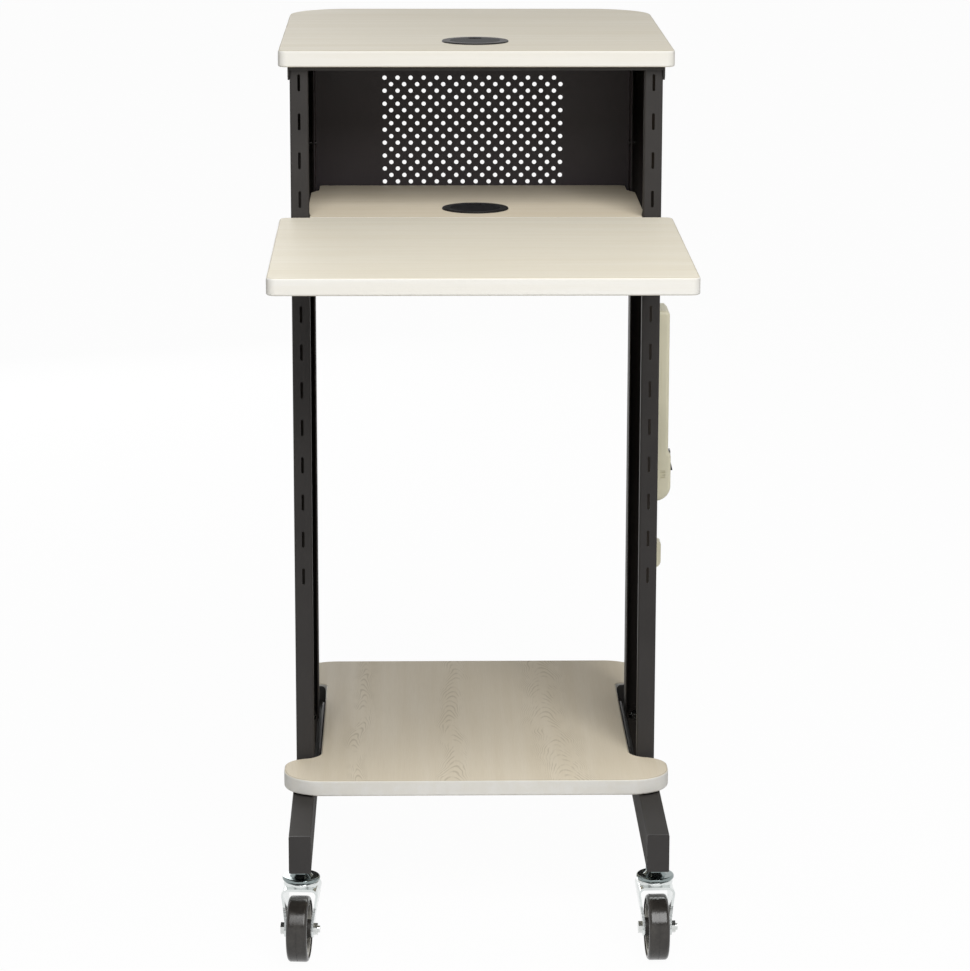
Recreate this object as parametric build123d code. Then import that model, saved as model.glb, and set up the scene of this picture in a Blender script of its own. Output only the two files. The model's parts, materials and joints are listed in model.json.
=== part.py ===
from build123d import *
from math import radians, sin
import os

# Audio visual cart in millimetres, +Z up. The long middle board reaches towards -Y.
# The pieces are built with the column fronts at Y = 0 and the middle of the boards at X = 0.
# They are written with the origin on the floor, under the middle of the overall box.

# Clearances and small common sizes
running_gap = 0.35
screw_fit = 0.1
overrun = 5.0
sheet = 1.5

# Casters
caster_height = 94.5
wheel_radius = 38.1
wheel_offset = 25.0
tread_width = 24.0
tread_round = 4.0
tread_groove = 0.8
tyre_thickness = 4.8
core_rim = 6.5
core_width = 21.0
core_web = 7.0
hub_radius = 11.0
hub_width = 26.8
axle_radius = 4.0
axle_fit = 0.08
axle_head = 4.5
axle_head_across = 12.7
axle_end = 2.5
fork_gap = 27.8
fork_sheet = 3.0
fork_top_width = 45.0
fork_top_depth = 46.0
fork_foot_depth = 19.0
fork_shoulder_drop = 23.0
fork_shoulder_height = 10.0
fork_crown_round = 5.0
raceway_radius = 21.8
raceway_height = 5.0
raceway_round = 2.2
collar_height = 4.5
collar_radius = 20.4
dish_radius = 13.5
dish_height = 4.0
stem_collar_across = 19.0
stem_collar_height = 17.85
stem_radius = 6.0
stem_height = 22.0
stem_nut_across = 18.0
stem_nut_height = 9.0
king_radius = 5.0
king_head_radius = 8.0
king_head = 1.6
front_left_turn = -4.6
front_right_turn = 1.9
rear_turn = 180.0
front_caster_back = 47.0
rear_caster_back = 40.0

# Brake pedals of the rear casters
pedal_pin_back = 40.0
pedal_pin_up = 20.6
pedal_pin_radius = 2.5
pedal_pin_head = 1.8
pedal_pin_head_radius = 4.2
pedal_sleeve = 4.5
pedal_cam = 6.3
pedal_sheet = 2.2
pedal_reach = 34.0
pedal_width = 25.0
pedal_ridges = 4
pedal_ridge = 1.2
pedal_slope = 12.0
pedal_travel = 20.0
ear_width = 13.0

# Base tubes
tube_width = 25.4
tube_height = 44.45
tube_wall = 2.0
tube_round = 1.6
tube_lead = 237.0
tube_length = 660.0
plug_cap = 2.5
plug_depth = 18.0

# Columns
column_inset = 34.3
column_width = 21.2
column_depth = 263.0
column_height = 847.6
column_lip = 14.0
column_rear_lip = 40.0
column_bend = 2.5
column_bend_inside = 1.0
foot_plate = 3.0
slot_count = 14
slot_pitch = 45.2
slot_length = 19.7
slot_width = 3.2
first_slot_drop = 17.0

# Bolts that hold a column to its base tube
bolt_radius = 4.0
bolt_head = 5.3
bolt_head_across = 13.0
bolt_washer = 1.2
bolt_inset = 55.0
nut_height = 6.5
bolt_end = 3.0

# Boards
board_thickness = 19.05
board_width = 457.2
board_round = 2.2
board_corner = 10.0
rear_corner = 76.2
top_depth = 508.0
top_lead = 11.0
bottom_depth = 516.0
bottom_lead = 96.0
bottom_front_corner = 45.0
notch_clearance = 8.0
notch_front = 2.0
notch_slant = 10.0
notch_tail = 49.0
rear_lobe_inset = 3.6
bottom_rear_corner = 50.0
lobe_round = 30.0
notch_round = 24.0
notch_end_round = 8.0
long_depth = 418.5
long_gap = 0.7
seam = 0.4
tongue_gap = 0.7
tongue_lip_depth = 20.0
tongue_flare = 3.0
tongue_flare_depth = 32.0
tongue_depth = 259.0
tongue_relief = 9.3
tongue_relief_depth = 41.0
tongue_slant = 20.0
tongue_round = 7.0
long_rise = 24.3
hook_slot_count = 4

# Cable grommets
grommet_hole = 32.0
grommet_fit = 0.1
grommet_flange = 39.2
grommet_flange_height = 1.6
grommet_tube = 20.0
grommet_wall = 1.8
grommet_ledge = 2.6
grommet_cap = 29.4
grommet_cap_height = 1.8
grommet_notch = 16.0
grommet_notch_depth = 14.0
top_grommet = 91.0
long_grommet = 67.0

# Top pan
pan_sheet = 2.0
pan_flange = 16.0
pan_lip = 4.5
pan_rear = 430.0
pan_chamfer = 5.0
pan_side_gap = 0.2
pan_hole_gap = 4.0

# Back panel
panel_sheet = 1.2
panel_side_gap = 0.3
panel_return = 46.0
panel_rows = 20
panel_columns = 14
panel_pitch = 16.0
panel_hole = 2.65
panel_first_row = 41.0
panel_shift = -4.0

# Bottom board brackets
bracket_sheet = 2.0
bracket_inboard = 44.0
bracket_upright = 16.0
bracket_upright_gap = 1.3
bracket_upright_front = 40.0
bracket_upright_back = 18.0
bracket_round = 6.0
bracket_lead = 60.0

# Shelf arms
arm_sheet = 2.5
arm_reach = 340.0
arm_height = 66.0
arm_tip_height = 10.0
arm_inboard = 40.0
arm_lip = 9.0
arm_rear = 200.0
arm_side_gap = 2.5
arm_front_gap = 0.6
hook_neck = 11.0
hook_drop = 7.0
hook_tail = 5.0
hook_seat = 1.3
brace_width = 34.0
brace_back = 60.0

# Screws
screw_radius = 2.1
screw_head_radius = 4.2
screw_head = 2.2
screw_length = 15.0
top_screw_inboard = 44.3
top_screw_inset = 30.0
board_screw_rows = 4
bottom_screw_inset = 30.0
shelf_screw_inset = 20.0
small_radius = 1.6
small_head_radius = 3.2
small_head = 1.8
small_length = 7.0
small_inset = 14.0

# Power strip on the right column
strip_front = 181.0
strip_depth = 62.0
strip_bottom = 449.5
strip_height = 239.0
strip_thickness = 25.4
strip_back_thickness = 15.4
strip_seam = 0.5
strip_wall = 2.4
strip_top_chamfer = 4.0
strip_step = 3.4
strip_step_rise = 61.0
strip_bottom_round = 19.0
strip_side_round = 4.0
socket_count = 5
socket_pitch = 31.0
socket_radius = 13.6
socket_thickness = 3.0
socket_first_drop = 25.0
blade_height = 6.6
blade_width = 1.7
blade_spread = 12.7
ground_radius = 2.4
ground_drop = 8.0
rib_count = 5
rib_pitch = 2.1
rib_width = 0.8
rib_depth = 1.0
rib_rise = 30.0
rib_reach = 6.6
rocker_rise = 46.0
rocker_height = 25.0
rocker_depth = 14.0
rocker_proud = 4.0
rocker_pivot_depth = 4.5
rocker_back = 3.0
rocker_dish = 1.4
rocker_tilt = 7.0
rocker_pin = 1.5
rocker_pin_reach = 1.6
rocker_lug = 2.2
rocker_lug_height = 7.0
gland_radius = 4.8
gland_length = 7.0
gland_bore = 3.2
gland_neck = 3.9
gland_rise = 26.0

# Cord cleat under the power strip
cleat_bottom = 359.5
cleat_height = 33.0
cleat_width = 22.0
cleat_reach = 19.2
cleat_base = 3.0
cleat_arm = 8.0
cleat_lip = 6.0
cleat_round = 9.0

# Heights and faces that follow from the sizes above
axle_z = wheel_radius
tube_bottom = caster_height + stem_collar_height
tube_top = tube_bottom + tube_height
column_bottom = tube_top + bracket_sheet
column_top = column_bottom + column_height
column_inner = board_width / 2 - column_inset
column_outer = column_inner + column_width
column_middle = (column_inner + column_outer) / 2
notch_wall = column_inner - notch_clearance
notch_rear = column_depth + notch_tail
bottom_board_z = tube_top + bracket_sheet
pan_top = column_top + pan_sheet
top_board_z = pan_top
overall_height = top_board_z + board_thickness
first_slot_z = column_top - first_slot_drop
upper_hook_z = first_slot_z - hook_slot_count * slot_pitch
lower_hook_z = upper_hook_z - slot_pitch
long_board_top = upper_hook_z + long_rise
long_board_z = long_board_top - board_thickness
strip_x = column_outer
strip_outer = strip_x + strip_thickness
rocker_outer = strip_outer + strip_step + rocker_proud
quarter_turn = 90.0

# Overall box, which sets the origin
fork_corner = Vector(-fork_top_width / 2, -fork_top_depth / 2, 0).rotate(Axis.Z, front_left_turn)
box_left = min(-board_width / 2, -column_middle + fork_corner.X)
box_right = rocker_outer
box_front = -(long_gap + long_depth)
box_back = top_depth - top_lead
to_origin = Pos(-(box_left + box_right) / 2, -(box_front + box_back) / 2, 0)


def block(x0, x1, y0, y1, z0, z1):
    """A box between two corners."""
    middle = Pos((x0 + x1) / 2, (y0 + y1) / 2, (z0 + z1) / 2)
    return middle * Box(x1 - x0, y1 - y0, z1 - z0)


def rod_x(radius, x0, x1, y, z):
    """A round rod along X."""
    return Pos((x0 + x1) / 2, y, z) * Rot(0, quarter_turn, 0) * Cylinder(radius, x1 - x0)


def rod_y(radius, y0, y1, x, z):
    """A round rod along Y."""
    return Pos(x, (y0 + y1) / 2, z) * Rot(quarter_turn, 0, 0) * Cylinder(radius, y1 - y0)


def rod_z(radius, z0, z1, x, y):
    """A round rod along Z."""
    return Pos(x, y, (z0 + z1) / 2) * Cylinder(radius, z1 - z0)


def hex_z(across, z0, z1, x, y):
    """A hexagonal head or nut on a vertical axis."""
    outline = RegularPolygon(across / 2, 6, major_radius=False)
    return Pos(x, y, z0) * extrude(outline, z1 - z0)


def hex_x(across, x0, x1, y, z):
    """A hexagonal head or nut on an axis along X."""
    outline = RegularPolygon(across / 2, 6, major_radius=False)
    return Pos(x0, y, z) * Rot(0, quarter_turn, 0) * extrude(outline, x1 - x0)


def group(solids):
    """Separate solids that share one node."""
    return Compound([one for shape in solids for one in shape.solids()])


def side_copy(shape, side):
    """The right-hand piece itself, or its mirror image for the left."""
    if side > 0:
        return shape
    return mirror(shape, about=Plane.YZ)


def outline_plate(points, radii, thickness):
    """A flat plate from an outline whose corners are rounded by the given radii."""
    face = make_face(FilletPolyline(*points, radius=radii, close=True))
    return extrude(face, thickness)


def mirrored_outline(points, radii):
    """A closed outline, symmetric about the Y axis, from its right half listed front to back."""
    left = [(-x, y) for x, y in reversed(points)]
    return points + left, radii + list(reversed(radii))


def soften(shape, radius):
    """Round the outer edges of a board's top and bottom faces."""
    faces = shape.faces().sort_by(Axis.Z)
    edges = faces[0].outer_wire().edges() + faces[-1].outer_wire().edges()
    return fillet(edges, radius)


def screw_up(x, y, head_top):
    """A pan-head screw that points up; its head hangs below head_top."""
    head = rod_z(screw_head_radius, head_top - screw_head, head_top, x, y)
    return head + rod_z(screw_radius, head_top, head_top + screw_length, x, y)


def screw_up_hole(x, y, head_top):
    """The room that such a screw needs above its head."""
    return rod_z(screw_radius + screw_fit, head_top - overrun, head_top + screw_length + screw_fit, x, y)


def small_screw_x(x, y, z, length):
    """A small screw along +X, with its head on the -X side of x."""
    head = rod_x(small_head_radius, x - small_head, x, y, z)
    return head + rod_x(small_radius, x, x + length, y, z)


# Casters


def caster_place(x, y, turn):
    """Where a caster stands: its swivel axis and how far it is turned."""
    return Pos(x, y, 0) * Rot(0, 0, turn)


def caster_places():
    """The four casters, by name, with the wheel trailing towards -Y at turn zero."""
    front = -tube_lead + front_caster_back
    rear = -tube_lead + tube_length - rear_caster_back
    return {
        "front_left": caster_place(-column_middle, front, front_left_turn),
        "front_right": caster_place(column_middle, front, front_right_turn),
        "rear_left": caster_place(-column_middle, rear, rear_turn),
        "rear_right": caster_place(column_middle, rear, rear_turn),
    }


def caster_mount():
    """Fixed half of the swivel: threaded stem with its collar, raceway and king pin with a riveted head."""
    top = caster_height
    raceway = rod_z(raceway_radius, top - raceway_height, top, 0, 0)
    raceway = fillet(raceway.edges().filter_by(GeomType.CIRCLE), raceway_round)
    raceway += Pos(0, 0, top + dish_height / 2) * Cone(dish_radius, stem_collar_across / 2, dish_height)
    raceway += hex_z(stem_collar_across, top + dish_height, tube_bottom, 0, 0)
    stem = rod_z(stem_radius, top, tube_bottom + stem_height, 0, 0)
    pin_low = fork_top() - fork_sheet - running_gap - king_head
    pin = rod_z(king_radius, pin_low, top, 0, 0)
    head = rod_z(king_head_radius, pin_low, pin_low + king_head, 0, 0)
    return raceway + stem + pin + head


def fork_top():
    """Top of the fork's crown, under the raceway."""
    return caster_height - raceway_height - running_gap


def fork_section():
    """The fork's bent strip seen from the front, which also sets its flare."""
    inner = fork_gap / 2
    crown_inner = fork_top_width / 2 - fork_sheet
    crown = fork_top() - collar_height
    shoulder = axle_z + fork_shoulder_height
    foot = axle_z - fork_foot_depth / 2
    inside = [(inner, foot), (inner, shoulder), (crown_inner, crown - fork_sheet)]
    outside = [(crown_inner + fork_sheet, crown), (inner + fork_sheet, shoulder), (inner + fork_sheet, foot)]
    points = inside + [(-x, z) for x, z in reversed(inside)]
    points += [(-x, z) for x, z in reversed(outside)] + outside
    bend, turn = fork_crown_round, fork_crown_round + fork_sheet
    radii = [0, bend, bend, bend, bend, 0, 0, bend, turn, turn, bend, 0]
    return make_face(Plane.XZ * FilletPolyline(*points, radius=radii, close=True))


def fork_side():
    """The fork's outline seen from the side, from the crown down and back to the axle."""
    half = fork_top_depth / 2
    foot = fork_foot_depth / 2
    crown = fork_top()
    drop = crown - fork_shoulder_drop
    points = [(-half, crown), (half, crown), (half, drop), (-wheel_offset + foot, axle_z)]
    points += [(-wheel_offset + foot, axle_z - foot), (-wheel_offset - foot, axle_z - foot)]
    points += [(-wheel_offset - foot, axle_z), (-half, drop)]
    soft = fork_foot_depth
    radii = [0, 0, soft, 0, foot - sheet, foot - sheet, 0, soft]
    return make_face(Plane.YZ * FilletPolyline(*points, radius=radii, close=True))


def fork():
    """Swivelling fork: flared cheeks and a round crown that carries the lower raceway."""
    strip = extrude(fork_section(), fork_top_depth, both=True)
    side = extrude(fork_side(), fork_top_width, both=True)
    body = strip & side
    crown = fork_top()
    collar = rod_z(collar_radius, crown - collar_height, crown, 0, 0)
    collar = fillet(collar.edges().filter_by(GeomType.CIRCLE).sort_by(Axis.Z)[-1], sheet)
    seat = crown - collar_height - fork_sheet
    ledge = rod_z(king_head_radius + sheet, seat - overrun, crown - fork_sheet, 0, 0)
    bore = rod_z(king_radius + running_gap, seat - overrun, crown + overrun, 0, 0)
    axle = rod_x(axle_radius + screw_fit, -fork_top_width, fork_top_width, -wheel_offset, axle_z)
    return body + collar - ledge - bore - axle


def axle():
    """Axle bolt across the fork, with its hexagonal head and nut."""
    reach = fork_gap / 2 + fork_sheet
    shank = rod_x(axle_radius, -reach - axle_head, reach + axle_head + axle_end, -wheel_offset, axle_z)
    head = hex_x(axle_head_across, -reach - axle_head, -reach, -wheel_offset, axle_z)
    nut = hex_x(axle_head_across, reach, reach + axle_head, -wheel_offset, axle_z)
    return shank + head + nut


def wheel_core():
    """Wheel centre: boss on the axle, thin web and rim under the tyre."""
    rim_outer = wheel_radius - tyre_thickness
    rim = ring_x(rim_outer, rim_outer - core_rim, core_width)
    web = rod_x(rim_outer - core_rim / 2, -core_web / 2, core_web / 2, 0, 0)
    boss = rod_x(hub_radius, -hub_width / 2, hub_width / 2, 0, 0)
    bore = rod_x(axle_radius + axle_fit, -hub_width, hub_width, 0, 0)
    return Pos(0, -wheel_offset, axle_z) * (rim + web + boss - bore)


def ring_x(outer, inner, width):
    """A plain ring on the X axis."""
    return rod_x(outer, -width / 2, width / 2, 0, 0) - rod_x(inner, -width, width, 0, 0)


def tyre():
    """Solid tyre with rounded shoulders and a shallow centre groove."""
    ring = ring_x(wheel_radius, wheel_radius - tyre_thickness, tread_width)
    rims = ring.edges().filter_by(GeomType.CIRCLE).sort_by(lambda edge: edge.radius)[-2:]
    ring = fillet(rims, tread_round)
    groove = ring_x(wheel_radius + overrun, wheel_radius - tread_groove, tread_groove)
    return Pos(0, -wheel_offset, axle_z) * (ring - groove)


def pedal_pin_place():
    """Place and height of the brake pedal's pin, behind the tyre."""
    return -wheel_offset - pedal_pin_back, axle_z + pedal_pin_up


def braked_fork():
    """A rear fork: the same fork with ears that reach back to the pedal's pin."""
    pin_y, pin_z = pedal_pin_place()
    reach = (pedal_pin_back**2 + pedal_pin_up**2) ** (1 / 2)
    rise = Axis((0, 0, 0), (0, -pedal_pin_back, pedal_pin_up)).direction
    slope = Vector(0, -1, 0).get_angle(Vector(rise.X, rise.Y, rise.Z))
    ear = Rot(0, 0, -slope) * SlotOverall(reach + ear_width, ear_width)
    middle = ((-wheel_offset + pin_y) / 2, (axle_z + pin_z) / 2)
    ear = Plane.YZ * (Pos(middle[0], middle[1], 0) * ear)
    ears = []
    for side in (1, -1):
        plate = Pos(fork_gap / 2, 0, 0) * extrude(ear, fork_sheet)
        ears.append(side_copy(plate, side))
    bolt = rod_x(axle_radius + screw_fit, -fork_top_width, fork_top_width, -wheel_offset, axle_z)
    pin = rod_x(pedal_pin_radius + screw_fit, -fork_top_width, fork_top_width, pin_y, pin_z)
    return fork() + ears - bolt - pin


def pedal_pin():
    """Pin across the ears, with a flat head on both ends."""
    pin_y, pin_z = pedal_pin_place()
    reach = fork_gap / 2 + fork_sheet
    shank = rod_x(pedal_pin_radius, -reach, reach, pin_y, pin_z)
    right = rod_x(pedal_pin_head_radius, reach, reach + pedal_pin_head, pin_y, pin_z)
    left = rod_x(pedal_pin_head_radius, -reach - pedal_pin_head, -reach, pin_y, pin_z)
    return shank + right + left


def pedal():
    """Foot pedal: a sleeve on the pin, a cam that turns towards the tread, and a ridged plate."""
    half = pedal_width / 2
    sleeve = rod_x(pedal_sleeve, -half, half, 0, 0)
    toward_wheel = Vector(0, pedal_pin_back, -pedal_pin_up).get_angle(Vector(0, 1, 0))
    cam = block(-half / 2, half / 2, 0, pedal_cam, -sheet, sheet)
    cam = Rot(-toward_wheel - pedal_travel, 0, 0) * cam
    plate = block(-half, half, -pedal_reach, 0, -pedal_sheet / 2, pedal_sheet / 2)
    step = (pedal_reach - pedal_sleeve) / (pedal_ridges + 1)
    ridges = []
    for number in range(pedal_ridges):
        y = -pedal_reach + step * (number + 1 / 2)
        top = pedal_sheet / 2 + pedal_ridge
        ridges.append(block(-half + sheet, half - sheet, y, y + pedal_ridge, 0, top))
    body = sleeve + cam + Rot(-pedal_slope, 0, 0) * (plate + ridges)
    bore = rod_x(pedal_pin_radius + axle_fit, -pedal_width, pedal_width, 0, 0)
    pin_y, pin_z = pedal_pin_place()
    return Pos(0, pin_y, pin_z) * (body - bore)


# Base tubes


def stem_places():
    """Where the caster stems enter the right-hand tube."""
    front = -tube_lead + front_caster_back
    rear = -tube_lead + tube_length - rear_caster_back
    return [front, rear]


def bolt_places():
    """Where bolts hold the right-hand column to its tube, front and rear."""
    return [bolt_inset, column_depth - bolt_inset]


def base_tube():
    """Right-hand rectangular tube, open at both ends, drilled for casters and column bolts."""
    x0 = column_middle - tube_width / 2
    x1 = column_middle + tube_width / 2
    y0 = -tube_lead + plug_cap
    y1 = -tube_lead + tube_length - plug_cap
    tube = block(x0, x1, y0, y1, tube_bottom, tube_top)
    tube = fillet(tube.edges().filter_by(Axis.Y), tube_round)
    wall = tube_wall
    tube -= block(x0 + wall, x1 - wall, y0 - overrun, y1 + overrun, tube_bottom + wall, tube_top - wall)
    for y in stem_places():
        tube -= rod_z(stem_radius + screw_fit, tube_bottom - overrun, tube_bottom + overrun, column_middle, y)
    for y in bolt_places():
        tube -= rod_z(bolt_radius + screw_fit, tube_bottom - overrun, tube_top + overrun, column_middle, y)
    return tube


def end_plug(face_y, inward):
    """A plastic plug: a cap as large as the tube and a hollow body inside it."""
    x0 = column_middle - tube_width / 2
    x1 = column_middle + tube_width / 2
    cap_end = face_y + inward * plug_cap
    cap = block(x0, x1, min(face_y, cap_end), max(face_y, cap_end), tube_bottom, tube_top)
    cap = fillet(cap.edges().filter_by(Axis.Y), tube_round)
    wall = tube_wall + screw_fit
    end = cap_end + inward * plug_depth
    low, high = min(cap_end, end), max(cap_end, end)
    body = block(x0 + wall, x1 - wall, low, high, tube_bottom + wall, tube_top - wall)
    hollow = wall + tube_wall
    inside = block(x0 + hollow, x1 - hollow, low, high, tube_bottom + hollow, tube_top - hollow)
    return cap + (body - inside)


def end_plugs():
    """The plugs of both tubes."""
    right = [end_plug(-tube_lead, 1), end_plug(-tube_lead + tube_length, -1)]
    return group(right + [side_copy(plug, -1) for plug in right])


def caster_nuts():
    """Nuts on the caster stems inside the tubes."""
    nuts = []
    for side in (1, -1):
        for y in stem_places():
            seat = tube_bottom + tube_wall
            nut = hex_z(stem_nut_across, seat, seat + stem_nut_height, column_middle, y)
            nut -= rod_z(stem_radius + screw_fit, tube_bottom, tube_top, column_middle, y)
            nuts.append(side_copy(nut, side))
    return group(nuts)


# Columns


def slot_heights():
    """Centres of the hanging slots, from the top down."""
    return [first_slot_z - number * slot_pitch for number in range(slot_count)]


def column():
    """Right-hand column: a lipped channel, open to the middle, with hanging slots and a foot plate."""
    x0, x1 = column_inner, column_outer
    low, high = column_bottom - overrun, column_top + overrun
    channel = block(x0, x1, 0, column_depth, column_bottom, column_top)
    channel = fillet(channel.edges().filter_by(Axis.Z), column_bend)
    hollow = block(x0 + sheet, x1 - sheet, sheet, column_depth - sheet, low, high)
    hollow = fillet(hollow.edges().filter_by(Axis.Z), column_bend_inside)
    mouth = block(x0 - overrun, column_middle, column_lip, column_depth - column_rear_lip, low, high)
    foot_top = column_bottom + foot_plate
    foot = block(x0 + sheet, x1 - sheet, sheet, column_depth - sheet, column_bottom, foot_top)
    body = channel - hollow - mouth + foot
    slots = []
    for z in slot_heights():
        slots.append(Plane.XZ * (Pos(column_middle, z) * SlotOverall(slot_length, slot_width, quarter_turn)))
    body -= [extrude(slot, overrun / 2, both=True) for slot in slots]
    for y in bolt_places():
        body -= rod_z(bolt_radius + screw_fit, column_bottom - overrun, foot_top + overrun, column_middle, y)
    for x, y, z, length in panel_screw_places():
        body -= rod_x(small_radius + screw_fit, x, x + length + screw_fit, y, z)
    for x, y, z, length in pan_screw_places():
        body -= side_copy(rod_x(small_radius + screw_fit, x, x + length + screw_fit, y, z), -1)
    return body


def strip_side_holes():
    """Holes in the right-hand column for the screws of the power strip and the cord cleat."""
    holes = []
    for x, y, z in strip_screw_places() + cleat_screw_places():
        holes.append(rod_x(small_radius + screw_fit, x - small_length - screw_fit, x, y, z))
    return holes


def column_bolts():
    """Bolts from under each tube up into the column's foot, with their washers."""
    bolts = []
    for side in (1, -1):
        for y in bolt_places():
            washer_low = tube_bottom - bolt_washer
            top = column_bottom + foot_plate + nut_height + bolt_end
            bolt = rod_z(bolt_radius, tube_bottom, top, column_middle, y)
            bolt += rod_z(bolt_head_across / 2 + bolt_washer, washer_low, tube_bottom, column_middle, y)
            bolt += hex_z(bolt_head_across, washer_low - bolt_head, washer_low, column_middle, y)
            bolts.append(side_copy(bolt, side))
    return group(bolts)


def column_nuts():
    """Nuts on the column bolts, on top of the foot plates."""
    nuts = []
    for side in (1, -1):
        for y in bolt_places():
            seat = column_bottom + foot_plate
            nut = hex_z(bolt_head_across, seat, seat + nut_height, column_middle, y)
            low, high = seat - overrun, seat + nut_height + overrun
            nut -= rod_z(bolt_radius + screw_fit, low, high, column_middle, y)
            nuts.append(side_copy(nut, side))
    return group(nuts)


# Boards


def top_screw_places():
    """Where screws hold the top board to the pan."""
    x = column_inner - top_screw_inboard
    step = (pan_rear - top_screw_inset * 2) / (board_screw_rows - 1)
    rows = [top_screw_inset + step * row for row in range(board_screw_rows)]
    return [(side * x, y) for side in (-1, 1) for y in rows]


def top_board():
    """Top board with large round rear corners and a cable hole."""
    half = board_width / 2
    points = [(half, -top_lead), (half, top_depth - top_lead)]
    outline, radii = mirrored_outline(points, [board_corner, rear_corner])
    board = soften(outline_plate(outline, radii, board_thickness), board_round)
    board = Pos(0, 0, top_board_z) * board
    board -= rod_z(grommet_hole, top_board_z - overrun, overall_height + overrun, 0, top_grommet)
    return board - [screw_up_hole(x, y, column_top) for x, y in top_screw_places()]


def long_board_front():
    """Front half of the long middle board, wider than the columns and just ahead of them."""
    half = board_width / 2
    points = [(half, -long_gap - long_depth), (half, -long_gap)]
    outline, radii = mirrored_outline(points, [board_corner, board_corner])
    board = soften(outline_plate(outline, radii, board_thickness), board_round)
    board = Pos(0, 0, long_board_z) * board
    seat = long_board_z - arm_sheet
    return board - [screw_up_hole(x, y, seat) for x, y in shelf_screw_places()]


def long_board_rear():
    """Rear half of the long middle board: it reaches into both columns, and is relieved for the panel."""
    front = column_inner - tongue_gap
    half = column_inner + tongue_flare
    narrow = half - tongue_relief
    step = tongue_depth - tongue_relief_depth
    flared = tongue_lip_depth + tongue_flare_depth
    points = [(front, seam - long_gap), (front, tongue_lip_depth), (half, flared)]
    points += [(half, step - tongue_slant), (narrow, step), (narrow, tongue_depth)]
    soft = tongue_round
    outline, radii = mirrored_outline(points, [0, soft, soft, soft, soft / 2, soft])
    board = outline_plate(outline, radii, board_thickness)
    board = fillet(board.faces().sort_by(Axis.Z)[-1].outer_wire().edges().sort_by(Axis.Y)[1:], seam)
    board = Pos(0, 0, long_board_z) * board
    board -= rod_z(grommet_hole, long_board_z - overrun, long_board_top + overrun, 0, long_grommet)
    seat = long_board_z - arm_sheet
    return board - [screw_up_hole(x, y, seat) for x, y in shelf_screw_places()]


def bottom_board():
    """Bottom board, notched round both columns, with round front lobes."""
    half = board_width / 2
    front = -bottom_lead
    points = [(half, front), (half, -notch_front - notch_slant), (notch_wall, -notch_front)]
    rear_half = half - rear_lobe_inset
    points += [(notch_wall, notch_rear), (rear_half, notch_rear), (rear_half, front + bottom_depth)]
    corner = min(bottom_rear_corner, front + bottom_depth - notch_rear - notch_end_round - seam)
    radii = [bottom_front_corner, lobe_round, notch_round, notch_end_round, notch_end_round, corner]
    outline, radii = mirrored_outline(points, radii)
    board = soften(outline_plate(outline, radii, board_thickness), board_round)
    board = Pos(0, 0, bottom_board_z) * board
    return board - [screw_up_hole(x, y, tube_top) for x, y in bottom_screw_places()]


def board_screws():
    """Wood screws of the top and bottom boards, identical."""
    screws = [screw_up(x, y, column_top) for x, y in top_screw_places()]
    screws += [screw_up(x, y, tube_top) for x, y in bottom_screw_places()]
    return group(screws)


# Top pan


def pan_screw_places():
    """Screws through the pan's left flange into the left column: head seat, along +X."""
    x = -(column_outer + pan_side_gap + pan_sheet)
    z = pan_top - pan_flange / 2
    return [(x, y, z, small_length) for y in (bolt_inset, column_depth - bolt_inset)]


def top_pan():
    """Bent sheet under the top board, with flanges outside the columns and lips front and rear."""
    x1 = column_outer + pan_side_gap + pan_sheet
    y0 = -pan_side_gap - pan_sheet
    pan = block(-x1, x1, y0, pan_rear, column_top, pan_top)
    flange = block(x1 - pan_sheet, x1, y0, pan_rear, pan_top - pan_flange, pan_top)
    corners = flange.edges().filter_by(Axis.X).sort_by(Axis.Z)[:2]
    flange = chamfer(corners, pan_chamfer)
    lips = []
    for y in (y0, pan_rear - pan_sheet):
        lips.append(block(-x1, x1, y, y + pan_sheet, pan_top - pan_lip, pan_top))
    pan = pan + flange + side_copy(flange, -1) + lips
    pan -= rod_z(grommet_hole + pan_hole_gap, column_top - overrun, pan_top + overrun, 0, top_grommet)
    holes = [rod_z(screw_radius + screw_fit, column_top - overrun, pan_top + overrun, x, y)
             for x, y in top_screw_places()]
    for x, y, z, length in pan_screw_places():
        hole = rod_x(small_radius + screw_fit, x - overrun, x + overrun, y, z)
        holes += [hole, side_copy(hole, -1)]
    return pan - holes


# Back panel


def panel_bottom():
    """Lower edge of the back panel."""
    return column_top - panel_first_row * 2 - (panel_rows - 1) * panel_pitch / 2


def panel_screw_places():
    """Screws through the panel's right return into the right column: head seat, along +X."""
    x = column_inner - panel_side_gap - panel_sheet
    y = column_depth - panel_return + small_inset
    low = panel_bottom() + panel_first_row / 2
    high = column_top - panel_first_row / 2
    return [(x, y, z, small_length) for z in (low, (low + high) / 2, high)]


def back_panel():
    """Perforated sheet between the columns, with side returns that lie against them."""
    half = column_inner - panel_side_gap
    middle_z = (panel_bottom() + column_top) / 2
    face = Plane.XZ * (Pos(0, middle_z) * Rectangle(half * 2, column_top - panel_bottom()))
    holes = []
    for row in range(panel_rows):
        z = column_top - panel_first_row - row * panel_pitch / 2
        start = panel_shift - panel_pitch * (panel_columns - 1) / 2 + panel_pitch / 2 * (row % 2)
        for number in range(panel_columns):
            circle = Plane.XZ * (Pos(start + panel_pitch * number, z) * Circle(panel_hole))
            holes.append(circle.face().outer_wire())
    holed = Face(face.face().outer_wire(), holes)
    panel = Pos(0, column_depth, 0) * extrude(holed, panel_sheet, dir=(0, -1, 0))
    front = column_depth - panel_return
    right = block(half - panel_sheet, half, front, column_depth, panel_bottom(), column_top)
    for x, y, z, length in panel_screw_places():
        right -= rod_x(small_radius + screw_fit, x - overrun, x + overrun, y, z)
    return panel + right + side_copy(right, -1)


# Bottom board brackets


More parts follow.
